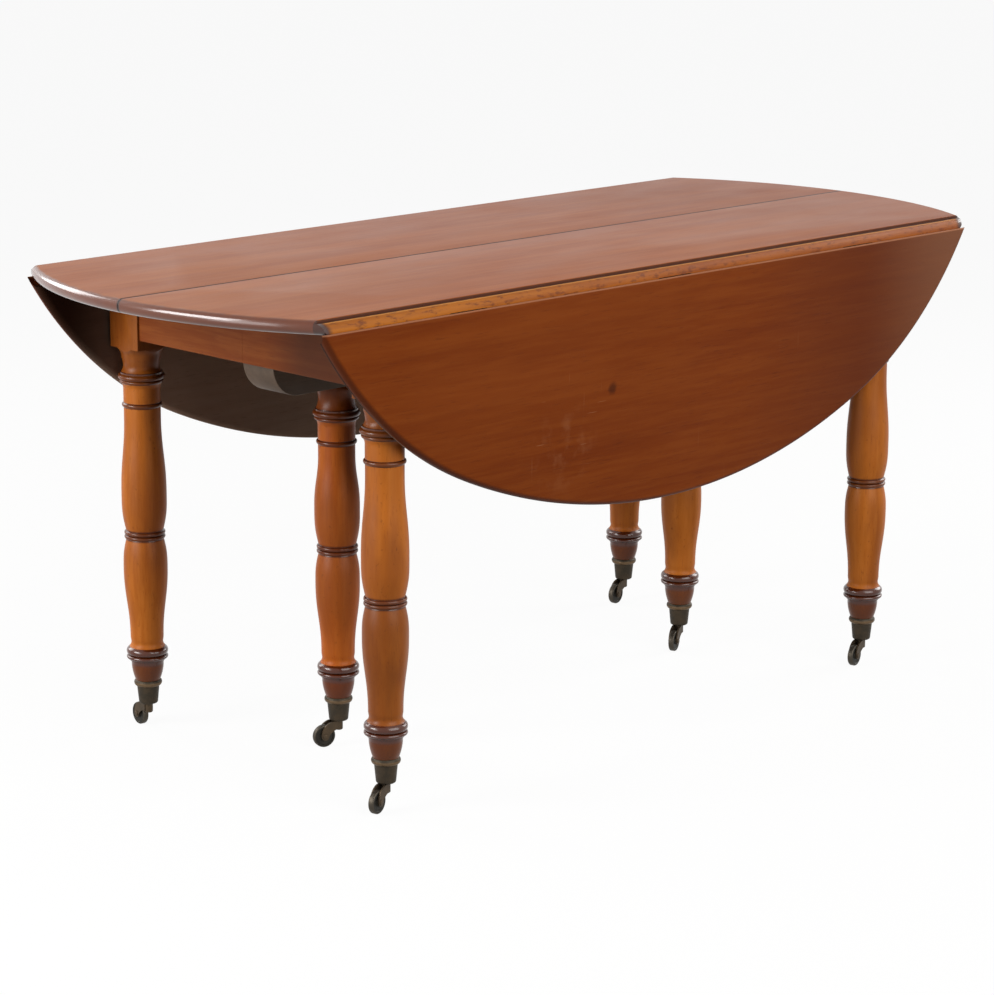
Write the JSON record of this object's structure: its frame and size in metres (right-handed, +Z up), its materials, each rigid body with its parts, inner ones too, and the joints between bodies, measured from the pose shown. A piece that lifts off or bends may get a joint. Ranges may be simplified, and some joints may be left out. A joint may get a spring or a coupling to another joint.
{
  "type": "extending table",
  "caption": "Oval drop-leaf dining table on turned legs with castors; its split top pulls apart across the middle on wooden runners, and hinged leaves hang at both long sides.",
  "frame": {"origin": "on the floor, under the middle of the closed table", "axes": "+X along the table and its split, +Y across it towards the far half, +Z up"},
  "size_m": [1.55, 0.644, 0.721],
  "materials": {
    "top_wood": "satin polish, sun-faded",
    "leaf_wood": "satin polish",
    "leg_wood": "polished, worn on the rings",
    "apron_wood": "dull polish",
    "inner_wood": "bare",
    "castor_brass": "tarnished",
    "wheel_iron": "worn",
    "hinge_iron": "dark"
  },
  "bodies": {
    "carriage": {"centre_beam": "inner_wood", "left_centre_leg": "leg_wood", "left_centre_castor_socket": "castor_brass", "left_carriage_runner": "inner_wood", "right_centre_leg": "leg_wood", "right_centre_castor_socket": "castor_brass", "right_carriage_runner": "inner_wood"},
    "near_half": {"near_top": "top_wood", "near_side_apron": "apron_wood", "near_lopers": "inner_wood", "near_loper_keepers": "inner_wood", "near_hinge_top_plates": "hinge_iron", "near_hinge_pins": "hinge_iron", "near_hinge_top_screws": "hinge_iron", "near_left_leg": "leg_wood", "near_left_end_apron": "apron_wood", "near_left_castor_socket": "castor_brass", "left_near_runner": "inner_wood", "near_right_leg": "leg_wood", "near_right_end_apron": "apron_wood", "near_right_castor_socket": "castor_brass", "right_near_runner": "inner_wood", "alignment_pegs": "inner_wood"},
    "near_middle": {"left_near_middle_runner": "inner_wood", "right_near_middle_runner": "inner_wood"},
    "near_leaf": {"near_leaf": "leaf_wood", "near_hinge_leaf_plates": "hinge_iron", "near_hinge_leaf_screws": "hinge_iron"},
    "far_half": {"far_top": "top_wood", "far_side_apron": "apron_wood", "far_lopers": "inner_wood", "far_loper_keepers": "inner_wood", "far_hinge_top_plates": "hinge_iron", "far_hinge_pins": "hinge_iron", "far_hinge_top_screws": "hinge_iron", "far_left_leg": "leg_wood", "far_left_end_apron": "apron_wood", "far_left_castor_socket": "castor_brass", "left_far_runner": "inner_wood", "far_right_leg": "leg_wood", "far_right_end_apron": "apron_wood", "far_right_castor_socket": "castor_brass", "right_far_runner": "inner_wood"},
    "far_middle": {"left_far_middle_runner": "inner_wood", "right_far_middle_runner": "inner_wood"},
    "far_leaf": {"far_leaf": "leaf_wood", "far_hinge_leaf_plates": "hinge_iron", "far_hinge_leaf_screws": "hinge_iron"},
    "near_left_horn": {"near_left_castor_horn": "castor_brass"},
    "near_left_wheel": {"near_left_castor_wheel": "wheel_iron"},
    "near_right_horn": {"near_right_castor_horn": "castor_brass"},
    "near_right_wheel": {"near_right_castor_wheel": "wheel_iron"},
    "far_left_horn": {"far_left_castor_horn": "castor_brass"},
    "far_left_wheel": {"far_left_castor_wheel": "wheel_iron"},
    "far_right_horn": {"far_right_castor_horn": "castor_brass"},
    "far_right_wheel": {"far_right_castor_wheel": "wheel_iron"},
    "left_centre_horn": {"left_centre_castor_horn": "castor_brass"},
    "left_centre_wheel": {"left_centre_castor_wheel": "wheel_iron"},
    "right_centre_horn": {"right_centre_castor_horn": "castor_brass"},
    "right_centre_wheel": {"right_centre_castor_wheel": "wheel_iron"}
  },
  "joints": [
    {"name": "near_half_slide", "type": "slide", "parent": "carriage", "child": "near_half", "axis": [0, -1, 0], "range_m": [0, 0.5]},
    {"name": "near_middle_slide", "type": "slide", "parent": "carriage", "child": "near_middle", "axis": [0, -1, 0], "range_m": [0, 0.25]},
    {"name": "near_leaf_hinge", "type": "hinge", "parent": "near_half", "child": "near_leaf", "pos_m": [0, -0.304, 0.703], "axis": [-1, 0, 0], "range_deg": [0, 90]},
    {"name": "far_half_slide", "type": "slide", "parent": "carriage", "child": "far_half", "axis": [0, 1, 0], "range_m": [0, 0.5]},
    {"name": "far_middle_slide", "type": "slide", "parent": "carriage", "child": "far_middle", "axis": [0, 1, 0], "range_m": [0, 0.25]},
    {"name": "far_leaf_hinge", "type": "hinge", "parent": "far_half", "child": "far_leaf", "pos_m": [0, 0.304, 0.703], "axis": [1, 0, 0], "range_deg": [0, 90]},
    {"name": "near_left_swivel", "type": "hinge", "parent": "near_half", "child": "near_left_horn", "pos_m": [-0.527, -0.264, 0.05], "axis": [0, 0, 1], "continuous": true},
    {"name": "near_left_roll", "type": "hinge", "parent": "near_left_horn", "child": "near_left_wheel", "pos_m": [-0.55018, -0.27021, 0.017], "axis": [0.2588, -0.9659, 0], "continuous": true},
    {"name": "near_right_swivel", "type": "hinge", "parent": "near_half", "child": "near_right_horn", "pos_m": [0.527, -0.264, 0.05], "axis": [0, 0, 1], "continuous": true},
    {"name": "near_right_roll", "type": "hinge", "parent": "near_right_horn", "child": "near_right_wheel", "pos_m": [0.50362, -0.2694, 0.017], "axis": [0.225, -0.9744, 0], "continuous": true},
    {"name": "far_left_swivel", "type": "hinge", "parent": "far_half", "child": "far_left_horn", "pos_m": [-0.527, 0.264, 0.05], "axis": [0, 0, 1], "continuous": true},
    {"name": "far_left_roll", "type": "hinge", "parent": "far_left_horn", "child": "far_left_wheel", "pos_m": [-0.52408, 0.28782, 0.017], "axis": [-0.9925, 0.1219, 0], "continuous": true},
    {"name": "far_right_swivel", "type": "hinge", "parent": "far_half", "child": "far_right_horn", "pos_m": [0.527, 0.264, 0.05], "axis": [0, 0, 1], "continuous": true},
    {"name": "far_right_roll", "type": "hinge", "parent": "far_right_horn", "child": "far_right_wheel", "pos_m": [0.5033, 0.26025, 0.017], "axis": [0.1564, -0.9877, 0], "continuous": true},
    {"name": "left_centre_swivel", "type": "hinge", "parent": "carriage", "child": "left_centre_horn", "pos_m": [-0.378, 0, 0.05], "axis": [0, 0, 1], "continuous": true},
    {"name": "left_centre_roll", "type": "hinge", "parent": "left_centre_horn", "child": "left_centre_wheel", "pos_m": [-0.40069, 0.00781, 0.017], "axis": [-0.3256, -0.9455, 0], "continuous": true},
    {"name": "right_centre_swivel", "type": "hinge", "parent": "carriage", "child": "right_centre_horn", "pos_m": [0.378, 0, 0.05], "axis": [0, 0, 1], "continuous": true},
    {"name": "right_centre_roll", "type": "hinge", "parent": "right_centre_horn", "child": "right_centre_wheel", "pos_m": [0.35591, -0.00938, 0.017], "axis": [0.3907, -0.9205, 0], "continuous": true}
  ],
  "couplings": [
    {"joint": "near_middle_slide", "follows": "near_half_slide", "ratio": 0.5},
    {"joint": "far_middle_slide", "follows": "far_half_slide", "ratio": 0.5}
  ]
}
